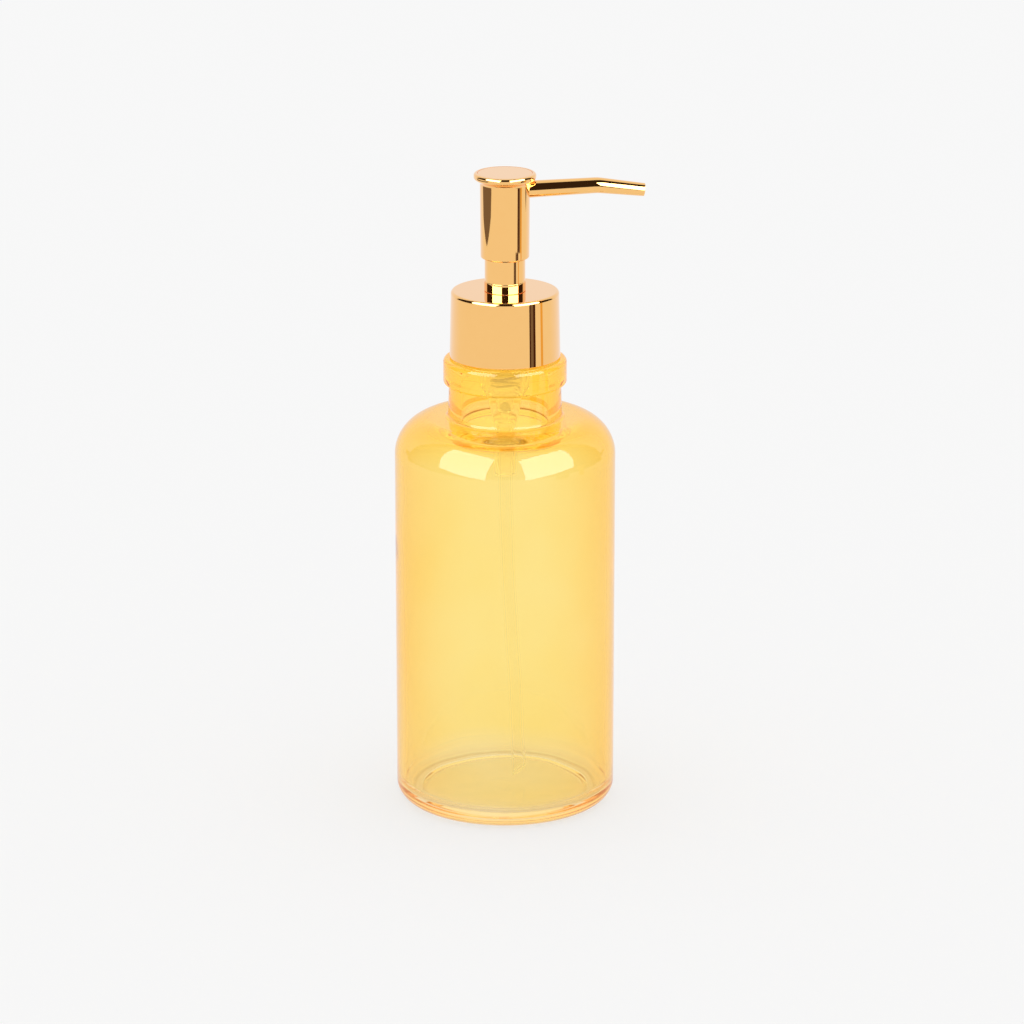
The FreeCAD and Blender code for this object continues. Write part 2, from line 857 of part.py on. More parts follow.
for item in doc.Objects:
    if {"Invalid", "Error"} & set(item.State):
        raise RuntimeError(f"{item.Label} failed: {item.State}")
for body in built:
    if body.Shape.isNull() or not body.Shape.isValid() or len(body.Shape.Solids) != 1:
        raise RuntimeError(f"{body.Label} isn't one valid solid")

os.makedirs("parts", exist_ok=True)
for body in built:
    body.Shape.exportStep(f"parts/{body.Label}.step")
    box = body.Shape.BoundBox
    print(f"{body.Label:14} {body.Shape.Volume:9.1f} mm3  z {box.ZMin:7.2f} to {box.ZMax:7.2f}")
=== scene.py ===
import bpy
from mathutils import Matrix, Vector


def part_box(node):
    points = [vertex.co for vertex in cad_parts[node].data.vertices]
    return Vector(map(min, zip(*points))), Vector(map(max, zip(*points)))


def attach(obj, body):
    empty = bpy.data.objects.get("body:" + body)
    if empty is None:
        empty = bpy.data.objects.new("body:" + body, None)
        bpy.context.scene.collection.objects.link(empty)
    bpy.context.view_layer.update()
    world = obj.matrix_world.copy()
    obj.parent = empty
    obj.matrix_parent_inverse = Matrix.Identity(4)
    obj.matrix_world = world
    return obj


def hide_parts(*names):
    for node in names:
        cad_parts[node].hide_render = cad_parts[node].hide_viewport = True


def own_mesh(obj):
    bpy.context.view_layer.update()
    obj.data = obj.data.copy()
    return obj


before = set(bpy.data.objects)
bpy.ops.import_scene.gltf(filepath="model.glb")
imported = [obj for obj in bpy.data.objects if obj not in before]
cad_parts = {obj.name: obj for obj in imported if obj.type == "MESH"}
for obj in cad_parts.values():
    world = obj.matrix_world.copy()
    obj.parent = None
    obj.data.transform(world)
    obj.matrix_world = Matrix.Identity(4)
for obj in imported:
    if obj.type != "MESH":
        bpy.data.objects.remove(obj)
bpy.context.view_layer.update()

# %% [markdown]
# # A soap dispenser with a gold plated pump
# The dispenser is a blown bottle of amber glass with a small screw pump on top. Three things
# make its look: clear tinted glass with an uneven inner wall, mirror-bright plating that shows
# the studio around it, and the pale plastic inside the neck. The working model fixes where
# every part is, so the sizes below are read from it and the new pieces are built around it.

# %% Tools and sizes
import math

import bmesh
import bpy
from mathutils import Vector

MM = 0.001
SAME_PLACE = 2e-7
SAME_LENGTH = 0.002

_, glass_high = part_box("bottle")
GLASS_RADIUS = glass_high.x / MM
GLASS_TOP = glass_high.z / MM
print(f"glass {2 * GLASS_RADIUS:.1f} mm wide, {GLASS_TOP:.1f} mm high")

# %% [markdown]
# ## Working by hand, in code
# Every new piece starts as a primitive and is shaped with the same tools as in the viewport.
# An operator acts on whatever is selected, and the loaded parts arrive selected, so each piece
# begins with nothing selected, and points are then picked by where they are.


# %% Selecting
def nothing_selected():
    if bpy.context.object and bpy.context.object.mode != "OBJECT":
        bpy.ops.object.mode_set(mode="OBJECT")
    bpy.ops.object.select_all(action="DESELECT")


def edit(piece):
    nothing_selected()
    bpy.context.view_layer.objects.active = piece
    piece.select_set(True)
    bpy.ops.object.mode_set(mode="EDIT")


def pick_points(piece, wanted):
    """Selects the points for which wanted(place) holds."""
    bpy.ops.mesh.select_mode(type="VERT")
    bpy.ops.mesh.select_all(action="DESELECT")
    mesh = bmesh.from_edit_mesh(piece.data)
    for point in mesh.verts:
        if wanted(point.co):
            point.select = True
    mesh.select_flush(True)
    bmesh.update_edit_mesh(piece.data)


# %% Modifiers
def apply_modifier(piece, kind, **settings):
    """Adds a modifier with its settings and applies it at once, as in the modifier panel."""
    nothing_selected()
    bpy.context.view_layer.objects.active = piece
    piece.select_set(True)
    modifier = piece.modifiers.new(kind.lower(), kind)
    for name, setting in settings.items():
        setattr(modifier, name, setting)
    bpy.ops.object.modifier_apply(modifier=modifier.name)


# %% [markdown]
# ## Turned pieces
# Almost every part of the dispenser is round about one upright axis, like work from a lathe.
# One could stack cylinders, but the rounded edges are what catch the light. So half of the
# section is drawn as a line: one point is extruded from corner to corner, the corners are
# rounded with a point bevel, long runs are divided, and the line is spun about the axis.


# %% Drawing a half section
def draw_section(name, corners):
    """An outline in the XZ plane from corners (radius, height[, rounding]) in millimetres.

    It is closed, unless it runs from the axis to the axis.
    """
    first = corners[0]
    nothing_selected()
    bpy.ops.mesh.primitive_plane_add(size=MM, location=(first[0] * MM, 0, first[1] * MM))
    piece = bpy.context.object
    piece.name = piece.data.name = name
    bpy.ops.object.transform_apply(location=True, rotation=True, scale=True)
    edit(piece)
    bpy.ops.mesh.select_mode(type="VERT")
    bpy.ops.mesh.select_all(action="SELECT")
    bpy.ops.mesh.merge(type="CENTER")
    for here, there in zip(corners, corners[1:]):
        step = ((there[0] - here[0]) * MM, 0, (there[1] - here[1]) * MM)
        bpy.ops.mesh.extrude_region_move(TRANSFORM_OT_translate={"value": step})
    if corners[0][0] > 0:
        ends = [Vector((corner[0] * MM, 0, corner[1] * MM)) for corner in (corners[0], corners[-1])]
        pick_points(piece, lambda place: any((place - end).length < SAME_PLACE for end in ends))
        bpy.ops.mesh.edge_face_add()
    return piece


# %% Rounding its corners
def round_section(piece, corners, degrees_per_facet=6):
    """Bevels each corner that names a rounding, so that its arc has that radius."""
    for number, corner in enumerate(corners):
        if len(corner) < 3:
            continue
        here = Vector((corner[0], 0, corner[1]))
        before = corners[number - 1]
        after = corners[(number + 1) % len(corners)]
        back = Vector((before[0], 0, before[1])) - here
        on = Vector((after[0], 0, after[1])) - here
        turn = math.pi - back.angle(on)
        reach = corner[2] * math.tan(turn / 2)
        pick_points(piece, lambda place: (place - here * MM).length < SAME_PLACE)
        bpy.ops.mesh.bevel(
            offset=reach * MM,
            offset_type="ABSOLUTE",
            segments=max(2, round(math.degrees(turn) / degrees_per_facet)),
            affect="VERTICES",
            profile=0.5,
        )


# %% Dividing its long runs
def divide_runs(piece, longest):
    """Cuts every straight run that is longer than that into even shorter ones."""
    bpy.ops.mesh.select_mode(type="EDGE")
    mesh = bmesh.from_edit_mesh(piece.data)
    lengths = sorted({round(edge.calc_length() / MM, 3) for edge in mesh.edges}, reverse=True)
    for length in [length for length in lengths if length > longest]:
        bpy.ops.mesh.select_all(action="DESELECT")
        mesh = bmesh.from_edit_mesh(piece.data)
        for edge in mesh.edges:
            edge.select = abs(edge.calc_length() / MM - length) < SAME_LENGTH
        bmesh.update_edit_mesh(piece.data)
        bpy.ops.mesh.subdivide(number_cuts=math.ceil(length / longest) - 1)
    bpy.ops.mesh.select_mode(type="VERT")


# %% [markdown]
# Spinning leaves a seam where the last step meets the first. Merging the doubles closes it, and
# the poles with it, and only then can the faces be told to look outwards. A weighted normal
# keeps wide faces true, so that mirrors on them stay straight and only the edges bend them.


# %% Spinning it
def finish_surface(piece, sharp_above=40):
    """Even, smooth shading: wide faces keep their own direction and rounded edges carry the turn."""
    nothing_selected()
    bpy.context.view_layer.objects.active = piece
    piece.select_set(True)
    bpy.ops.object.shade_smooth_by_angle(angle=math.radians(sharp_above))
    apply_modifier(piece, "WEIGHTED_NORMAL", weight=100, keep_sharp=True)


def turn_piece(name, corners, facets=128, longest=1000, degrees_per_facet=6):
    """A closed turned piece from its half section."""
    piece = draw_section(name, corners)
    round_section(piece, corners, degrees_per_facet)
    divide_runs(piece, longest)
    bpy.ops.mesh.select_all(action="SELECT")
    bpy.ops.mesh.spin(steps=facets, angle=2 * math.pi, center=(0, 0, 0), axis=(0, 0, 1))
    bpy.ops.mesh.select_all(action="SELECT")
    bpy.ops.mesh.remove_doubles(threshold=SAME_PLACE)
    bpy.ops.mesh.normals_make_consistent(inside=False)
    bpy.ops.object.mode_set(mode="OBJECT")
    print(f"{name}: {len(piece.data.polygons)} faces, {piece.dimensions.z / MM:.1f} mm high")
    return piece


# %% [markdown]
# ## Tubes along a bent line
# The spout, its plastic liner and the dip tube are tubes. A circle is extruded from station to
# station; at each one it is turned to face along the line and scaled to the tube's radius
# there, so a taper and a bend come from the same few steps.


# %% Following a line
def face_along(heading):
    """How far a level ring has to tip about Y to face that way in the XZ plane."""
    return math.atan2(heading.x, heading.z)


def headings_at(stations):
    """The way that a line runs at each of its stations: the mean of the runs beside it."""
    places = [Vector((across, 0, up)) for across, up, _ in stations]
    runs = [(after - before).normalized() for before, after in zip(places, places[1:])]
    first, last = runs[0], runs[-1]
    middle = [(before + after).normalized() for before, after in zip(runs, runs[1:])]
    return places, [first, *middle, last]


# %% Drawing the tube
def carry_ring(step, place, turn, scale):
    """Extrudes the selected ring by a step, then turns and scales it about its new middle."""
    centre = place * MM
    bpy.ops.mesh.extrude_region_move(TRANSFORM_OT_translate={"value": step * MM})
    if turn:
        bpy.ops.transform.rotate(value=-turn, orient_axis="Y", center_override=centre)
    bpy.ops.transform.resize(value=(scale, scale, scale), center_override=centre)


def draw_tube(name, stations, facets=48):
    """An open tube through (x, z, radius) stations in millimetres.

    It is left in edit mode with its last ring selected.
    """
    places, headings = headings_at(stations)
    nothing_selected()
    bpy.ops.mesh.primitive_circle_add(
        vertices=facets,
        radius=stations[0][2] * MM,
        location=places[0] * MM,
        rotation=(0, face_along(headings[0]), 0),
    )
    piece = bpy.context.object
    piece.name = piece.data.name = name
    bpy.ops.object.transform_apply(location=True, rotation=True, scale=True)
    edit(piece)
    bpy.ops.mesh.select_all(action="SELECT")
    for number in range(1, len(stations)):
        carry_ring(
            places[number] - places[number - 1],
            places[number],
            face_along(headings[number]) - face_along(headings[number - 1]),
            stations[number][2] / stations[number - 1][2],
        )
    return piece


# %% Closing a shape and joining two
def cap_ends(piece):
    """Closes every open ring of the piece, one after the other."""
    edit(piece)
    bpy.ops.mesh.select_mode(type="EDGE")
    bpy.ops.mesh.select_all(action="DESELECT")
    bpy.ops.mesh.select_non_manifold()
    bpy.ops.mesh.fill_holes(sides=0)
    bpy.ops.mesh.select_all(action="SELECT")
    bpy.ops.mesh.normals_make_consistent(inside=False)
    bpy.ops.object.mode_set(mode="OBJECT")


def combine(piece, other, how):
    """Joins another solid to the piece or cuts it away, and throws the other one away."""
    apply_modifier(piece, "BOOLEAN", object=other, operation=how, solver="EXACT")
    bpy.data.objects.remove(other)


# %% [markdown]
# ## The bottle
# Dispenser bottles like this are blown in a mould. The outside follows the mould, with a flat
# resting ring, a short round heel, a straight wall and a tight shoulder. The inside is free: it
# is a little uneven, and that is what makes clear glass look like glass. The amber is a stain
# on the outside, so the outer and inner faces get different materials.

# %% The glass, outside and inside
PANEL_DEPTH = 0.8
PANEL_RADIUS = 27.0
RING_INNER_RADIUS = 28.5
HEEL_ROUNDING = 6.0
SHOULDER_HEIGHT = 135.6
SHOULDER_ROUNDING = 13.0
NECK_FOOT = 136.3
NECK_FOOT_RADIUS = 19.35
NECK_RADIUS = 19.0
BEAD_RADIUS = 20.9
BEAD_FOOT = 147.8
BEAD_TOP = 156.8
FINISH_RADIUS = 14.9
MOUTH_RADIUS = 11.9
MOUTH_FOOT = 157.5
THROAT_RADIUS = 15.0
THROAT_TOP = 152.0
CAVITY_RADIUS = 34.5
CAVITY_TOP = 131.4
CAVITY_ROUNDING = 10.0
CAVITY_FLOOR = 4.5
FLOOR_MIDDLE = 5.6
bottle = turn_piece("amber_bottle", [
    (0, PANEL_DEPTH),
    (PANEL_RADIUS, PANEL_DEPTH),
    (RING_INNER_RADIUS, 0.0),
    (GLASS_RADIUS, 0.0, HEEL_ROUNDING),
    (GLASS_RADIUS, SHOULDER_HEIGHT, SHOULDER_ROUNDING),
    (NECK_FOOT_RADIUS, NECK_FOOT, 1.3),
    (NECK_RADIUS, BEAD_FOOT, 0.4),
    (BEAD_RADIUS, BEAD_FOOT, 1.28),
    (BEAD_RADIUS, BEAD_TOP, 1.6),
    (FINISH_RADIUS, BEAD_TOP),
    (FINISH_RADIUS, GLASS_TOP, 0.8),
    (MOUTH_RADIUS, GLASS_TOP, 0.8),
    (MOUTH_RADIUS, MOUTH_FOOT, 1.5),
    (THROAT_RADIUS, THROAT_TOP, 1.5),
    (THROAT_RADIUS, CAVITY_TOP, 1.5),
    (CAVITY_RADIUS, CAVITY_TOP, CAVITY_ROUNDING),
    (CAVITY_RADIUS, CAVITY_FLOOR, 4.5),
    (0, FLOOR_MIDDLE),
], facets=192, longest=2.5, degrees_per_facet=4)

# %% [markdown]
# The screw finish is hidden under the collar until the pump is taken out. Its thread is the same
# ridge as in the working model: a trapezoid wound one and a quarter turns round the finish.

# %% The glass thread
THREAD_PITCH = 4.23
THREAD_TURNS = 1.25
THREAD_START = 160.3
THREAD_STEPS = 90
ROOT_RADIUS = 14.7
ROOT_HALF_WIDTH = 1.15
CREST_RADIUS = 16.05
CREST_HALF_WIDTH = 0.55
thread = draw_section("glass_thread", [
    (ROOT_RADIUS, THREAD_START - ROOT_HALF_WIDTH),
    (CREST_RADIUS, THREAD_START - CREST_HALF_WIDTH),
    (CREST_RADIUS, THREAD_START + CREST_HALF_WIDTH),
    (ROOT_RADIUS, THREAD_START + ROOT_HALF_WIDTH),
])
apply_modifier(
    thread,
    "SCREW",
    angle=2 * math.pi * THREAD_TURNS,
    screw_offset=THREAD_PITCH * THREAD_TURNS * MM,
    steps=THREAD_STEPS,
    render_steps=THREAD_STEPS,
)
cap_ends(thread)
combine(bottle, thread, "UNION")
print(f"threaded finish: {len(bottle.data.polygons)} faces in the bottle")

# %% [markdown]
# The uneven inside: the faces of the cavity are marked, then pushed in and out along their
# normals by a soft cloud pattern. Half a millimetre over a few centimetres is enough.

# %% The uneven inner wall
SWELL_SPACING = 0.024
SWELL_DEPTH = 0.45


def on_the_cavity(place, slack):
    """Whether a place is on the cavity's wall, with its round upper corner, or inside it."""
    across = math.hypot(place.x, place.y) / MM
    height = place.z / MM
    past_corner = max(across - (CAVITY_RADIUS - CAVITY_ROUNDING), 0)
    above_corner = max(height - (CAVITY_TOP - CAVITY_ROUNDING), 0)
    rounded = math.hypot(past_corner, above_corner) < CAVITY_ROUNDING + slack
    return rounded and CAVITY_FLOOR - slack < height < CAVITY_TOP + slack


bottle.data.materials.clear()
inner_wall = bottle.vertex_groups.new(name="inner_wall")
inner_points = [point.index for point in bottle.data.vertices if on_the_cavity(point.co, slack=0.1)]
inner_wall.add(inner_points, 1.0, "REPLACE")
swell = bpy.data.textures.new("blown_wall", "CLOUDS")
swell.noise_scale = SWELL_SPACING
swell.noise_depth = 1
apply_modifier(
    bottle,
    "DISPLACE",
    texture=swell,
    texture_coords="LOCAL",
    direction="NORMAL",
    vertex_group="inner_wall",
    mid_level=0.5,
    strength=SWELL_DEPTH * MM,
)
finish_surface(bottle, sharp_above=30)
print(f"{len(inner_points)} points of the inner wall moved")

# %% [markdown]
# ## The gold collar, sleeve and head
# The plated shells are thin pressings over plastic. Their edges are small: one millimetre on
# the collar, less on the plate. Plated edges are never sharp, and each one shows as a bright
# line, so every edge that can be seen has a rounding of its own.

# %% The collar
collar_low, collar_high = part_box("collar_shell")
COLLAR_RADIUS = collar_high.x / MM
COLLAR_FOOT = collar_low.z / MM
COLLAR_TOP = collar_high.z / MM
COLLAR_WALL = 0.6
COLLAR_ROOF = 0.8
COLLAR_TOP_RADIUS = 18.25
COLLAR_HOLE = 6.55
collar = turn_piece("gold_collar", [
    (COLLAR_RADIUS - COLLAR_WALL, COLLAR_FOOT),
    (COLLAR_RADIUS, COLLAR_FOOT, 0.2),
    (COLLAR_TOP_RADIUS, COLLAR_TOP, 1.0),
    (COLLAR_HOLE, COLLAR_TOP),
    (COLLAR_HOLE, COLLAR_TOP - COLLAR_ROOF),
    (COLLAR_TOP_RADIUS - COLLAR_WALL, COLLAR_TOP - COLLAR_ROOF, 0.5),
], facets=192, longest=3.0, degrees_per_facet=5)
finish_surface(collar)

# %% The sleeve with its ring
sleeve_low, sleeve_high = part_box("neck_sleeve")
RING_RADIUS = sleeve_high.x / MM
RING_FOOT = sleeve_low.z / MM
SLEEVE_TOP = sleeve_high.z / MM
SLEEVE_RADIUS = 6.84
SLEEVE_BORE = 6.43
RING_TOP = 183.4
sleeve = turn_piece("gold_sleeve", [
    (SLEEVE_BORE, RING_FOOT),
    (RING_RADIUS, RING_FOOT, 0.12),
    (RING_RADIUS, RING_TOP, 0.12),
    (SLEEVE_RADIUS, RING_TOP),
    (SLEEVE_RADIUS, SLEEVE_TOP, 0.2),
    (SLEEVE_BORE, SLEEVE_TOP),
], facets=128, longest=3.0)
finish_surface(sleeve)

# %% The plate in the head's rim
disc_low, disc_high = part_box("top_disc")
DISC_RADIUS = disc_high.x / MM
DISC_FOOT = disc_low.z / MM
DISC_TOP = disc_high.z / MM
plate = turn_piece("gold_top_plate", [
    (0, DISC_FOOT),
    (DISC_RADIUS, DISC_FOOT),
    (DISC_RADIUS, DISC_TOP, 0.2),
    (0, DISC_TOP),
], facets=128, longest=2.0)
finish_surface(plate)

# %% [markdown]
# The head is a deep cup with a flared rim. The spout is one tapered, slightly bent tube that
# grows out of its side, so it is joined to the cup, and then one bore is cut through both.

# %% The cup of the head
head_low, head_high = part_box("head_shell")
RIM_RADIUS = -head_low.x / MM
HEAD_FOOT = head_low.z / MM
HEAD_TOP = head_high.z / MM
CUP_BORE = 7.2
CUP_ROOF = 218.2
CUP_RADIUS = 8.2
FLARE_RADIUS = 8.4
FLARE_FOOT = 217.2
RIM_FOOT = 218.6
DISC_SEAT = 9.25
head = turn_piece("gold_head", [
    (0, CUP_ROOF),
    (CUP_BORE, CUP_ROOF),
    (CUP_BORE, HEAD_FOOT),
    (CUP_RADIUS, HEAD_FOOT, 0.6),
    (FLARE_RADIUS, FLARE_FOOT, 0.9),
    (RIM_RADIUS, RIM_FOOT, 0.8),
    (RIM_RADIUS, HEAD_TOP, 0.8),
    (DISC_SEAT, HEAD_TOP),
    (DISC_SEAT, DISC_FOOT),
    (0, DISC_FOOT),
], facets=128, longest=2.0)

# %% The spout
SPOUT_LINE = [
    (7.6, 214.6, 2.88),
    (30.1, 215.51, 2.66),
    (31.1, 215.51, 2.65),
    (32.1, 215.43, 2.62),
]
SPOUT_TIP = (head_high.x / MM - 0.25, 213.65, 2.2)
TIP_ROUNDING = 0.2
spout = draw_tube("gold_spout", [*SPOUT_LINE, SPOUT_TIP], facets=96)
bpy.ops.mesh.edge_face_add()
bpy.ops.mesh.bevel(offset=TIP_ROUNDING * MM, segments=4, affect="EDGES")
cap_ends(spout)
combine(head, spout, "UNION")
print(f"spout joined: {len(head.data.polygons)} faces")

# %% The bore through both
BORE_RADIUS = 1.6
bore = draw_tube("spout_bore", [
    (4.0, 214.45, BORE_RADIUS),
    *((across, up, BORE_RADIUS) for across, up, _ in SPOUT_LINE[1:]),
    (SPOUT_TIP[0] + 1.0, SPOUT_TIP[1] - 0.12, BORE_RADIUS),
])
cap_ends(bore)
combine(head, bore, "DIFFERENCE")
finish_surface(head, sharp_above=24)
print(f"head with spout: {len(head.data.polygons)} faces")

# %% [markdown]
# Inside the spout runs a thin plastic tube, and a longer one hangs from the pump to the floor of
# the bottle. Both are drawn as one skin and given their wall afterwards. The long one leans to
# the side and is cut off at a slant, so that the glass can't close its mouth.


# %% The liner in the spout
def give_wall(piece, thickness):
    """Leaves edit mode and thickens the skin inwards, by millimetres."""
    bpy.ops.object.mode_set(mode="OBJECT")
    apply_modifier(piece, "SOLIDIFY", thickness=thickness * MM, offset=-1, use_even_offset=True)
    edit(piece)
    bpy.ops.mesh.select_all(action="SELECT")
    bpy.ops.mesh.normals_make_consistent(inside=False)
    bpy.ops.object.mode_set(mode="OBJECT")


_, liner_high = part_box("spout_liner")
LINER_RADIUS = 1.55
LINER_WALL = 0.55
liner = draw_tube("spout_liner_tube", [
    (5.0, 214.5, LINER_RADIUS),
    *((across, up, LINER_RADIUS) for across, up, _ in SPOUT_LINE[1:]),
    (liner_high.x / MM - 0.15, 213.77, LINER_RADIUS),
])
give_wall(liner, LINER_WALL)
finish_surface(liner)
print(f"liner {liner.dimensions.x / MM:.1f} mm long")

# %% The dip tube
_, tube_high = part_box("dip_tube")
TUBE_RADIUS = 2.4
TUBE_WALL = 0.7
TUBE_TOP = tube_high.z / MM
TUBE_LEAN = 5.0
dip_tube = draw_tube("suction_tube", [
    (0, TUBE_TOP, TUBE_RADIUS),
    (0, 116.0, TUBE_RADIUS),
    (0.22, 100.0, TUBE_RADIUS),
    (0.88, 83.8, TUBE_RADIUS),
    (TUBE_LEAN, 7.6, TUBE_RADIUS),
    (5.2, 4.0, TUBE_RADIUS),
])
give_wall(dip_tube, TUBE_WALL)

# %% Its slanted end
TUBE_CUT_HEIGHT = 8.8
TUBE_CUT_SLANT = 0.75
edit(dip_tube)
bpy.ops.mesh.select_all(action="SELECT")
bpy.ops.mesh.bisect(
    plane_co=(TUBE_LEAN * MM, 0, TUBE_CUT_HEIGHT * MM),
    plane_no=(TUBE_CUT_SLANT, 0, -1),
    clear_outer=True,
    use_fill=True,
)
bpy.ops.object.mode_set(mode="OBJECT")
finish_surface(dip_tube)
print(f"dip tube {dip_tube.dimensions.z / MM:.1f} mm long")

# %% [markdown]
# The spring under the piston is a round wire wound in a helix: a ring swept by a Screw modifier.
# When the head is pressed it gets shorter, turn by turn.

# %% The return spring
SPRING_TURNS = 5
SPRING_STEPS = 36
WIRE_RADIUS = 0.4
spring_low, spring_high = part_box("return_spring")
spring_height = (spring_high.z - spring_low.z) / MM
nothing_selected()
bpy.ops.mesh.primitive_circle_add(
    vertices=12,
    radius=WIRE_RADIUS * MM,
    location=(spring_high.x - WIRE_RADIUS * MM, 0, spring_low.z + WIRE_RADIUS * MM),
    rotation=(math.pi / 2, 0, 0),
)
spring = bpy.context.object
spring.name = spring.data.name = "return_coil"
bpy.ops.object.transform_apply(location=True, rotation=True, scale=True)
apply_modifier(
    spring,
    "SCREW",
    angle=2 * math.pi * SPRING_TURNS,
    screw_offset=(spring_height - 2 * WIRE_RADIUS) * MM,
    steps=SPRING_STEPS * SPRING_TURNS,
    render_steps=SPRING_STEPS * SPRING_TURNS,
)
cap_ends(spring)
finish_surface(spring)
print(f"spring {spring.dimensions.x / MM:.1f} mm wide, {spring.dimensions.z / MM:.1f} mm high")

# %% [markdown]
# ## Materials
# Each finish has small variations of its own. What two finishes share is a node group. All
# patterns are in the object's own coordinates, in metres, so a scale of 1000 is a millimetre.


# %% Starting a material or a group
def start_group(name, outputs):
    """A node group that takes a place and gives the named outputs."""
    group = bpy.data.node_groups.new(name, "ShaderNodeTree")
    group.interface.new_socket("Place", in_out="INPUT", socket_type="NodeSocketVector")
    for output, kind in outputs:
        group.interface.new_socket(output, in_out="OUTPUT", socket_type=kind)
    return group, group.nodes.new("NodeGroupInput"), group.nodes.new("NodeGroupOutput")


def start_material(name):
    """A new material with its shader, its object coordinates and nothing else."""
    material = bpy.data.materials.new(name)
    material.use_nodes = True
    tree = material.node_tree
    tree.nodes.clear()
    shader = tree.nodes.new("ShaderNodeBsdfPrincipled")
    output = tree.nodes.new("ShaderNodeOutputMaterial")
    tree.links.new(shader.outputs["BSDF"], output.inputs["Surface"])
    place = tree.nodes.new("ShaderNodeTexCoord").outputs["Object"]
    return material, tree, shader, place


def use_group(tree, group, place):
    node = tree.nodes.new("ShaderNodeGroup")
    node.node_tree = group
    tree.links.new(place, node.inputs["Place"])
    return node


# %% Single nodes
def add_noise(tree, place, scale, detail=2.0, roughness=0.5):
    noise = tree.nodes.new("ShaderNodeTexNoise")
    noise.inputs["Scale"].default_value = scale
    noise.inputs["Detail"].default_value = detail
    noise.inputs["Roughness"].default_value = roughness
    tree.links.new(place, noise.inputs["Vector"])
    return noise


def add_range(tree, source, low, high, from_low=0.3, from_high=0.7):
    span = tree.nodes.new("ShaderNodeMapRange")
    span.inputs["From Min"].default_value = from_low
    span.inputs["From Max"].default_value = from_high
    span.inputs["To Min"].default_value = low
    span.inputs["To Max"].default_value = high
    tree.links.new(source, span.inputs["Value"])
    return span


def add_bump(tree, height, depth, strength=1.0):
    bump = tree.nodes.new("ShaderNodeBump")
    bump.inputs["Strength"].default_value = strength
    bump.inputs["Distance"].default_value = depth
    tree.links.new(height, bump.inputs["Height"])
    return bump


def add_mix(tree, factor, first, second):
    mix = tree.nodes.new("ShaderNodeMix")
    mix.data_type = "RGBA"
    mix.inputs["A"].default_value = (*first, 1)
    mix.inputs["B"].default_value = (*second, 1)
    tree.links.new(factor, mix.inputs["Factor"])
    return mix


# %% [markdown]
# Polish is shared by the plating and the steel: the finish is close to a mirror, with a faint
# cloudiness where it was wiped, and a surface that isn't perfectly true. Moulded skin is shared
# by the plastics and seals: a fine grain, and broad marks where the melt flowed. Ripple is
# shared by the outer and inner glass: slow waves that bend what is seen through them.

# %% Polish
NUMBER = "NodeSocketFloat"
DIRECTION = "NodeSocketVector"
polish, group_in, group_out = start_group(
    "fine_polish", [("Roughness", NUMBER), ("Wiped", NUMBER), ("Normal", DIRECTION)]
)
wiped = add_noise(polish, group_in.outputs["Place"], scale=260, detail=4)
rough = add_range(polish, wiped.outputs["Fac"], low=0.012, high=0.03)
truth = add_noise(polish, group_in.outputs["Place"], scale=90, detail=1)
true_bump = add_bump(polish, truth.outputs["Fac"], depth=0.000008)
polish.links.new(rough.outputs["Result"], group_out.inputs["Roughness"])
polish.links.new(wiped.outputs["Fac"], group_out.inputs["Wiped"])
polish.links.new(true_bump.outputs["Normal"], group_out.inputs["Normal"])

# %% Moulded skin
skin, group_in, group_out = start_group(
    "moulded_skin", [("Roughness", NUMBER), ("Shade", NUMBER), ("Normal", DIRECTION)]
)
grain = add_noise(skin, group_in.outputs["Place"], scale=2600, detail=3)
flow = add_noise(skin, group_in.outputs["Place"], scale=140, detail=2)
skin_rough = add_range(skin, flow.outputs["Fac"], low=0.28, high=0.42)
skin_bump = add_bump(skin, grain.outputs["Fac"], depth=0.00001, strength=0.6)
skin.links.new(skin_rough.outputs["Result"], group_out.inputs["Roughness"])
skin.links.new(flow.outputs["Fac"], group_out.inputs["Shade"])
skin.links.new(skin_bump.outputs["Normal"], group_out.inputs["Normal"])

# %% Glass ripple
ripple, group_in, group_out = start_group(
    "glass_ripple", [("Height", NUMBER), ("Cloud", NUMBER), ("Normal", DIRECTION)]
)
cloud = add_noise(ripple, group_in.outputs["Place"], scale=22, detail=2)
cloud_span = add_range(ripple, cloud.outputs["Fac"], low=0, high=1, from_low=0.35, from_high=0.65)
ripple.links.new(cloud_span.outputs["Result"], group_out.inputs["Cloud"])
broad = add_noise(ripple, group_in.outputs["Place"], scale=70, detail=1)
wave_bump = add_bump(ripple, broad.outputs["Fac"], depth=0.00006)
parts = ripple.nodes.new("ShaderNodeSeparateXYZ")
ripple.links.new(group_in.outputs["Place"], parts.inputs["Vector"])
ripple.links.new(parts.outputs["Z"], group_out.inputs["Height"])
ripple.links.new(wave_bump.outputs["Normal"], group_out.inputs["Normal"])
print("groups:", [group.name for group in (polish, skin, ripple)])

# %% [markdown]
# Gold plate and steel: pure metal. Gold is paler where it is seen at a low angle, which is why
# the top faces look almost pink beside the deep yellow of the upright walls. A layer weight
# node tells how far a surface is turned away from the eye, and that mixes in the paler colour.


# %% Metals
def seen_sideways(tree, start, full):
    """A mask from 0 to 1: how far past start the surface is turned away from the eye."""
    facing = tree.nodes.new("ShaderNodeLayerWeight")
    facing.inputs["Blend"].default_value = 0.5
    mask = add_range(tree, facing.outputs["Facing"], low=0, high=1, from_low=start, from_high=full)
    return mask.outputs["Result"]


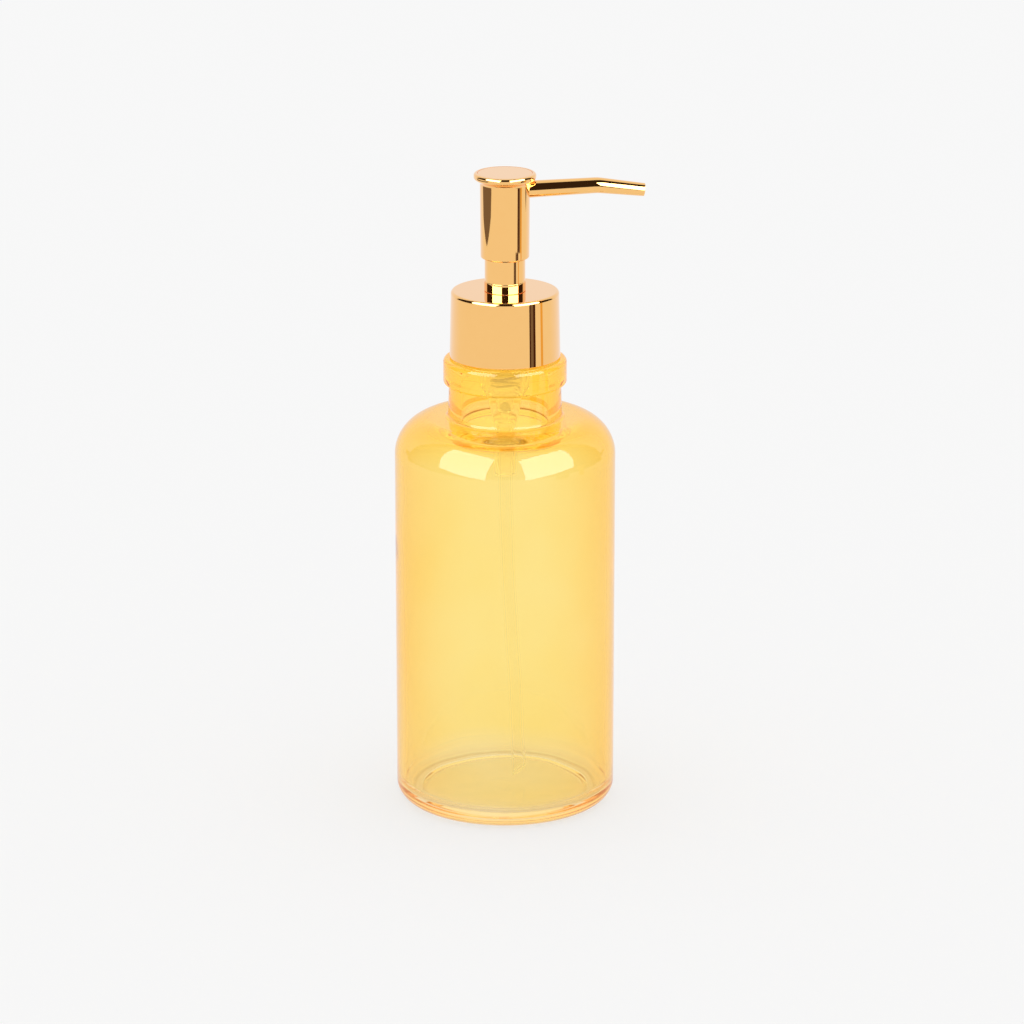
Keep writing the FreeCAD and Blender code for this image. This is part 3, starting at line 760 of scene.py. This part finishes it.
def make_metal(name, colour, clouded, pale):
    material, tree, shader, place = start_material(name)
    finish = use_group(tree, polish, place)
    body = add_mix(tree, finish.outputs["Wiped"], colour, clouded)
    edge = add_mix(tree, seen_sideways(tree, start=0.45, full=0.95), colour, pale)
    tree.links.new(body.outputs["Result"], edge.inputs["A"])
    tree.links.new(edge.outputs["Result"], shader.inputs["Base Color"])
    tree.links.new(finish.outputs["Roughness"], shader.inputs["Roughness"])
    tree.links.new(finish.outputs["Normal"], shader.inputs["Normal"])
    shader.inputs["Metallic"].default_value = 1.0
    return material


gold = make_metal("gold_plate", (0.985, 0.585, 0.215), (0.97, 0.565, 0.20), (0.99, 0.63, 0.38))
steel = make_metal("polished_steel", (0.62, 0.61, 0.60), (0.58, 0.57, 0.56), (0.80, 0.80, 0.80))
spring_steel = make_metal("spring_wire", (0.50, 0.49, 0.48), (0.44, 0.43, 0.42), (0.70, 0.70, 0.70))
print("metals:", [metal.name for metal in (gold, steel, spring_steel)])

# %% [markdown]
# Plastics and seals: moulded, slightly grainy, with the faint flow marks of moulding. Inside
# the amber neck the pale plastic is lit from all round and scatters warm light, which a thin
# surface shader can't do, so it gets a very faint glow of that colour instead.


# %% Plastics and seals
def make_plastic(name, colour, flowed, roughness=None):
    material, tree, shader, place = start_material(name)
    finish = use_group(tree, skin, place)
    body = add_mix(tree, finish.outputs["Shade"], colour, flowed)
    tree.links.new(body.outputs["Result"], shader.inputs["Base Color"])
    tree.links.new(finish.outputs["Normal"], shader.inputs["Normal"])
    if roughness is None:
        tree.links.new(finish.outputs["Roughness"], shader.inputs["Roughness"])
    else:
        shader.inputs["Roughness"].default_value = roughness
    return material, shader


# %% White plastic and seal
WHITE_GLOW = 0.17
white_plastic, white_shader = make_plastic(
    "white_polypropylene", (0.84, 0.84, 0.82), (0.80, 0.80, 0.78)
)
white_shader.inputs["Emission Color"].default_value = (1.0, 0.83, 0.56, 1)
white_shader.inputs["Emission Strength"].default_value = WHITE_GLOW
seal, _ = make_plastic("soft_seal", (0.72, 0.71, 0.68), (0.64, 0.63, 0.60), roughness=0.55)

# %% Clear plastic and hose
CLEAR_GLOW = 0.085
clear_plastic, clear_shader = make_plastic(
    "clear_polyethylene", (1.0, 0.99, 0.97), (0.97, 0.96, 0.93), roughness=0.1
)
clear_shader.inputs["Transmission Weight"].default_value = 0.75
clear_shader.inputs["IOR"].default_value = 1.15
clear_shader.inputs["Emission Color"].default_value = (1.0, 0.80, 0.50, 1)
clear_shader.inputs["Emission Strength"].default_value = CLEAR_GLOW
hose_plastic, hose_shader = make_plastic(
    "thin_clear_hose", (1.0, 1.0, 0.99), (0.99, 0.98, 0.96), roughness=0.05
)
hose_shader.inputs["Transmission Weight"].default_value = 1.0
hose_shader.inputs["IOR"].default_value = 1.07
print("plastics:", [plastic.name for plastic in (white_plastic, seal, clear_plastic, hose_plastic)])

# %% [markdown]
# Amber glass: the stain is on the outside. It is deeper round the neck, where the stain pooled,
# and browner at the foot. Seen at a low angle the light goes a longer way through the stain, so
# the sides are deeper than the middle. Right at the outline the colour is darker still: that is a
# painted shade, brown on the body and deeper round the neck, in place of the dark reflections at
# the glass's edges. The inner faces are plain glass. A tint through the whole thickness would be
# truer, but a stain on the faces keeps its colour in any renderer.


# %% Colour up the bottle
def add_stops(tree, height, stops):
    """A colour that changes up the bottle, from (height in mm, colour) stops."""
    ramp = tree.nodes.new("ShaderNodeValToRGB")
    climb = add_range(tree, height, low=0, high=1, from_low=0, from_high=GLASS_TOP * MM)
    tree.links.new(climb.outputs["Result"], ramp.inputs["Fac"])
    while len(ramp.color_ramp.elements) < len(stops):
        ramp.color_ramp.elements.new(0.5)
    for element, (mark, colour) in zip(ramp.color_ramp.elements, stops):
        element.position = mark / GLASS_TOP
        element.color = (*colour, 1)
    return ramp


def deepen(tree, colour, amount, tint):
    """Multiplies a colour by the tint, a colour or a node's output, where the amount says so."""
    mix = add_mix(tree, amount, (1, 1, 1), (1, 1, 1))
    mix.blend_type = "MULTIPLY"
    tree.links.new(colour, mix.inputs["A"])
    if isinstance(tint, tuple):
        mix.inputs["B"].default_value = (*tint, 1)
    else:
        tree.links.new(tint, mix.inputs["B"])
    return mix.outputs["Result"]


# %% Clear glass
def make_glass(name):
    material, tree, shader, place = start_material(name)
    waves = use_group(tree, ripple, place)
    tree.links.new(waves.outputs["Normal"], shader.inputs["Normal"])
    shader.inputs["Transmission Weight"].default_value = 1.0
    shader.inputs["Roughness"].default_value = 0.0
    shader.inputs["IOR"].default_value = 1.45
    return material, tree, shader, waves


# %% The amber stain
AMBER = (1.0, 0.81, 0.27)
DEEP_AMBER = (1.0, 0.72, 0.10)
CLOUD_TINT = (1.0, 0.94, 0.72)
SIDE_TINT = (1.0, 0.68, 0.22)
# The two edge colours below are painted shade for the glass's outline: brown on the body, darker round
# the neck.
PAINTED_EDGE_SHADE = (0.62, 0.38, 0.26)
PAINTED_NECK_SHADE = (0.36, 0.17, 0.08)
amber_glass, tree, shader, waves = make_glass("amber_stained_glass")
stain = add_stops(tree, waves.outputs["Height"], [
    (0, (0.72, 0.58, 0.40)),
    (0.5, (0.78, 0.64, 0.44)),
    (0.7, (1.0, 0.92, 0.66)),
    (0.9, (1.0, 0.92, 0.66)),
    (1.1, (0.86, 0.70, 0.46)),
    (4, (0.95, 0.80, 0.46)),
    (12, AMBER),
    (126, AMBER),
    (138, DEEP_AMBER),
    (GLASS_TOP, DEEP_AMBER),
])

# %% Deeper at the sides, and painted shade at the rim
painted_rim_shade = add_stops(tree, waves.outputs["Height"], [
    (0, (0.55, 0.36, 0.24)),
    (6, PAINTED_EDGE_SHADE),
    (124, PAINTED_EDGE_SHADE),
    (138, PAINTED_NECK_SHADE),
    (GLASS_TOP, PAINTED_NECK_SHADE),
])
tint = deepen(tree, stain.outputs["Color"], waves.outputs["Cloud"], CLOUD_TINT)
tint = deepen(tree, tint, seen_sideways(tree, start=0.1, full=0.62), SIDE_TINT)
# Painted shade where the glass is seen edge-on: the outline is darkened towards the edge colours.
rim_shade_mask = seen_sideways(tree, start=0.68, full=0.94)
tint = deepen(tree, tint, rim_shade_mask, painted_rim_shade.outputs["Color"])
tree.links.new(tint, shader.inputs["Base Color"])

# %% The glow of scattered light
glow = add_stops(tree, waves.outputs["Height"], [
    (0, (0.03, 0.011, 0.0)),
    (124, (0.03, 0.010, 0.0)),
    (136, (0.07, 0.025, 0.0)),
    (GLASS_TOP, (0.07, 0.025, 0.0)),
])
tree.links.new(glow.outputs["Color"], shader.inputs["Emission Color"])
shader.inputs["Emission Strength"].default_value = 1.0

# %% The plain inner faces
inner_glass, tree, shader, waves = make_glass("clear_inner_glass")
faint = add_stops(tree, waves.outputs["Height"], [
    (0, (1.0, 1.0, 0.98)),
    (GLASS_TOP, (1.0, 0.99, 0.96)),
])
tree.links.new(faint.outputs["Color"], shader.inputs["Base Color"])
print("glasses:", amber_glass.name, inner_glass.name)

# %% [markdown]
# Materials go on by face where a piece has two of them, as the bottle has: stained outside and
# plain inside. The parts of the working model that stay in sight get theirs in place of the
# plain colours that they were loaded with.

# %% Putting the materials on
bottle.data.materials.append(amber_glass)
bottle.data.materials.append(inner_glass)
OUTER, INNER = 0, 1
for face in bottle.data.polygons:
    middle = face.center / MM
    across = math.hypot(middle.x, middle.y)
    in_cavity = on_the_cavity(face.center, slack=0.6)
    inside_neck = across < THROAT_RADIUS + 0.4 and CAVITY_TOP < middle.z < MOUTH_FOOT
    inside_mouth = across < MOUTH_RADIUS + 0.3 and middle.z >= MOUTH_FOOT
    face.material_index = INNER if in_cavity or inside_neck or inside_mouth else OUTER
inner_faces = [face for face in bottle.data.polygons if face.material_index == INNER]
print(f"{len(inner_faces)} inner faces are plain glass")

# %% The rest of the pieces
for piece in (collar, sleeve, head, plate):
    piece.data.materials.append(gold)
liner.data.materials.append(white_plastic)
dip_tube.data.materials.append(hose_plastic)
spring.data.materials.append(spring_steel)

CARRIED_OVER = {
    "pump_housing": clear_plastic,
    "ball_cage": clear_plastic,
    "chaplet": white_plastic,
    "closure": white_plastic,
    "piston": white_plastic,
    "piston_rod": white_plastic,
    "piston_stem": white_plastic,
    "head_core": white_plastic,
    "neck_gasket": seal,
    "stem_wiper": seal,
    "inlet_ball": steel,
}
for node, material in CARRIED_OVER.items():
    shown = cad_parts[node]
    if shown.material_slots:
        for holder in shown.material_slots:
            holder.link = "OBJECT"
            holder.material = material
    else:
        shown.data.materials.append(material)
print(f"{len(CARRIED_OVER)} parts carried over with new finishes")

# %% [markdown]
# ## Which body each piece rides on
# A piece moves with its body and stands for the part of the working model that it replaces. The
# spring alone gets a mesh of its own.

# %% Riding and replacing
for piece, body, node, slot in (
    (bottle, "bottle", "bottle", "amber_glass"),
    (collar, "collar", "collar_shell", "gold_plating"),
    (sleeve, "pump", "neck_sleeve", "gold_plating"),
    (head, "head", "head_shell", "gold_plating"),
    (plate, "head", "top_disc", "gold_plating"),
    (liner, "head", "spout_liner", "white_plastic"),
    (dip_tube, "pump", "dip_tube", "clear_plastic"),
    (spring, "pump", "return_spring", "spring_steel"),
):
    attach(piece, body)
    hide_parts(node)
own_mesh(spring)

# %% [markdown]
# ## The studio
# Glossy things are lit by what they mirror, so the studio is built as carefully as the object.
# First the camera: a long lens from a little above, which keeps the upright lines upright.

# %% Camera
CAMERA_TURN = math.radians(5.0)
CAMERA_DISTANCE = 1.5
CAMERA_HEIGHT = 0.5679
CAMERA_TILT = math.radians(17.26)
CAMERA_SIDE = 0.00236
CAMERA_LENS = 161.8
ahead = Vector((math.sin(CAMERA_TURN), math.cos(CAMERA_TURN), 0))
right = Vector((math.cos(CAMERA_TURN), -math.sin(CAMERA_TURN), 0))
up = Vector((0, 0, 1))

camera_data = bpy.data.cameras.new("camera")
camera_data.lens = CAMERA_LENS
camera_data.sensor_width = 36.0
camera_data.clip_end = 20
camera = bpy.data.objects.new("camera", camera_data)
bpy.context.scene.collection.objects.link(camera)
camera.location = right * CAMERA_SIDE - ahead * CAMERA_DISTANCE + up * CAMERA_HEIGHT
looking = ahead * math.cos(CAMERA_TILT) - up * math.sin(CAMERA_TILT)
camera.rotation_euler = looking.to_track_quat("-Z", "Y").to_euler()
bpy.context.scene.camera = camera
bpy.context.scene.view_settings.view_transform = "Standard"
print(f"camera at {[round(value, 3) for value in camera.location]}")

# %% [markdown]
# The room is plain soft white light over a white table. Light in thick glass turns many corners
# before it comes out, and each one counts as a bounce. With few of them glass edges go black.

# %% The room
LIGHT_PATH_STEPS = 32
for limit in ("max_bounces", "glossy_bounces", "transmission_bounces"):
    setattr(bpy.context.scene.cycles, limit, LIGHT_PATH_STEPS)

ROOM_WHITE = 0.935
world = bpy.data.worlds.new("white_room")
world.use_nodes = True
background = world.node_tree.nodes["Background"]
background.inputs["Color"].default_value = (ROOM_WHITE, ROOM_WHITE, ROOM_WHITE, 1)
bpy.context.scene.world = world
print(f"white room of {ROOM_WHITE}, light followed for {LIGHT_PATH_STEPS} steps")

# %% The table
TABLE_WHITE = 0.3
TABLE_RADIUS = 4.0
nothing_selected()
bpy.ops.mesh.primitive_circle_add(vertices=96, radius=TABLE_RADIUS, fill_type="NGON", location=(0, 0, 0))
table = bpy.context.object
table.name = "white_table"
table_material, _, table_shader, _ = start_material("white_table_top")
table_shader.inputs["Base Color"].default_value = (TABLE_WHITE, TABLE_WHITE, TABLE_WHITE, 1)
table_shader.inputs["Emission Color"].default_value = (1, 1, 1, 1)
table_shader.inputs["Emission Strength"].default_value = ROOM_WHITE * (1 - TABLE_WHITE)
table_shader.inputs["Roughness"].default_value = 1.0
table_shader.inputs["Specular IOR Level"].default_value = 0.0
table.data.materials.append(table_material)
print(f"table of {TABLE_WHITE}, with its own light for the rest")

# %% [markdown]
# Two softboxes stand in front, left and right, and the room round them is dark, as a studio is
# behind the camera. Thin flags nearer by draw the brown and orange bands on the upright gold.
# All of these are seen in mirrors only, so they cast no light and can't be seen through glass.


# %% Cards that only mirrors see
def studio_place(azimuth, distance, height):
    """A place in the studio: degrees to the right of the camera as seen from the object."""
    turn = math.radians(azimuth)
    return distance * (math.sin(turn) * right - math.cos(turn) * ahead) + height * up


def only_in_mirrors(card, colour, strength):
    card_material, _, shader, _ = start_material(card.name)
    shader.inputs["Base Color"].default_value = (0, 0, 0, 1)
    shader.inputs["Specular IOR Level"].default_value = 0.0
    shader.inputs["Emission Color"].default_value = (*colour, 1)
    shader.inputs["Emission Strength"].default_value = strength
    card.data.materials.clear()
    card.data.materials.append(card_material)
    card.visible_camera = False
    card.visible_diffuse = False
    card.visible_transmission = False
    card.visible_shadow = False
    card.visible_volume_scatter = False


def hang_card(name, places, colour, strength):
    """A flat card through its corners, which only mirrors see."""
    mesh = bpy.data.meshes.new(name)
    mesh.from_pydata([tuple(place) for place in places], [], [tuple(range(len(places)))])
    card = bpy.data.objects.new(name, mesh)
    bpy.context.scene.collection.objects.link(card)
    only_in_mirrors(card, colour, strength)


# %% The dark half of the room
DARK = (0.035, 0.022, 0.016)
DARK_DISTANCE = 1.6
DARK_MIDDLE = 0.13
DARK_REACH = math.radians(120)
nothing_selected()
bpy.ops.mesh.primitive_uv_sphere_add(
    segments=96, ring_count=48, radius=DARK_DISTANCE, location=(0, 0, DARK_MIDDLE)
)
dark_room = bpy.context.object
dark_room.name = "dark_half_of_the_room"
bpy.ops.object.transform_apply(location=True, rotation=True, scale=True)
edit(dark_room)


def out_of_the_dark_half(place):
    """Behind the object or under the table. The pole has no direction, and it stays."""
    flat = Vector((place.x, place.y, 0))
    turned_away = flat.length > 0.02 and flat.angle(-ahead) > DARK_REACH
    return turned_away or place.z < 0.0


pick_points(dark_room, out_of_the_dark_half)
bpy.ops.mesh.delete(type="VERT")
bpy.ops.object.mode_set(mode="OBJECT")
only_in_mirrors(dark_room, DARK, 1.0)
print(f"dark half: {len(dark_room.data.polygons)} faces at {DARK_DISTANCE} m")

# %% Softboxes and flags
SHOULDER = Vector((0, 0, 0.133))


def towards(rightward, away, upward, distance):
    """A place at a distance from the shoulder, in directions as the camera has them."""
    return SHOULDER + distance * (rightward * right + away * ahead + upward * up)


SOFTBOX_DISTANCE = 0.8
SOFTBOX_GLOW = 6.5
SOFTBOX_WHITE = (1.0, 0.99, 0.97)
for side, name, top, outer in (
    (-1, "left_softbox", (0.14, -0.57, 0.80), (0.89, -0.32, 0.14)),
    (1, "right_softbox", (0.20, -0.61, 0.75), (0.93, -0.26, 0.14)),
):
    inner_foot = towards(side * 0.34, -0.93, -0.11, SOFTBOX_DISTANCE)
    inner_top = towards(side * top[0], top[1], top[2], SOFTBOX_DISTANCE)
    outer_foot = towards(side * outer[0], outer[1], outer[2], SOFTBOX_DISTANCE)
    outer_top = inner_top + outer_foot - inner_foot
    hang_card(name, [inner_foot, outer_foot, outer_top, inner_top], SOFTBOX_WHITE, SOFTBOX_GLOW)

FLAG_DISTANCE = 0.3
BROWN = (0.20, 0.16, 0.15)
NEARLY_BLACK = (0.06, 0.02, 0.01)
ORANGE = (0.85, 0.545, 0.16)
LOW, MIDDLE, HIGH = 0.055, 0.1175, 0.16
FLAGS = (
    ("left_brown_flag", [(-124, HIGH), (-58, HIGH), (-68, 0.132), (-94, 0.120), (-118, 0.132)], BROWN),
    ("right_wedge", [(98, HIGH), (125, HIGH), (112, 0.134)], BROWN),
    ("low_dark_line", [(51, LOW), (54, LOW), (54, MIDDLE), (51, MIDDLE)], NEARLY_BLACK),
    ("low_brown_band", [(54, LOW), (60, LOW), (60, MIDDLE), (54, MIDDLE)], BROWN),
    ("low_dark_band", [(60, LOW), (65, LOW), (65, MIDDLE), (60, MIDDLE)], NEARLY_BLACK),
    ("low_orange_strip", [(78, LOW), (84, LOW), (84, MIDDLE), (78, MIDDLE)], ORANGE),
    ("high_dark_line", [(60, MIDDLE), (67, MIDDLE), (67, HIGH), (60, HIGH)], NEARLY_BLACK),
    ("high_brown_band", [(67, MIDDLE), (75, MIDDLE), (75, HIGH), (67, HIGH)], BROWN),
    ("high_orange_strip", [(75, MIDDLE), (84, MIDDLE), (84, HIGH), (75, HIGH)], ORANGE),
)
for name, corners, colour in FLAGS:
    places = [studio_place(turn, FLAG_DISTANCE, height) for turn, height in corners]
    hang_card(name, places, colour, 1.0)
print(f"softboxes at {SOFTBOX_DISTANCE} m, {len(FLAGS)} flags at {FLAG_DISTANCE} m")
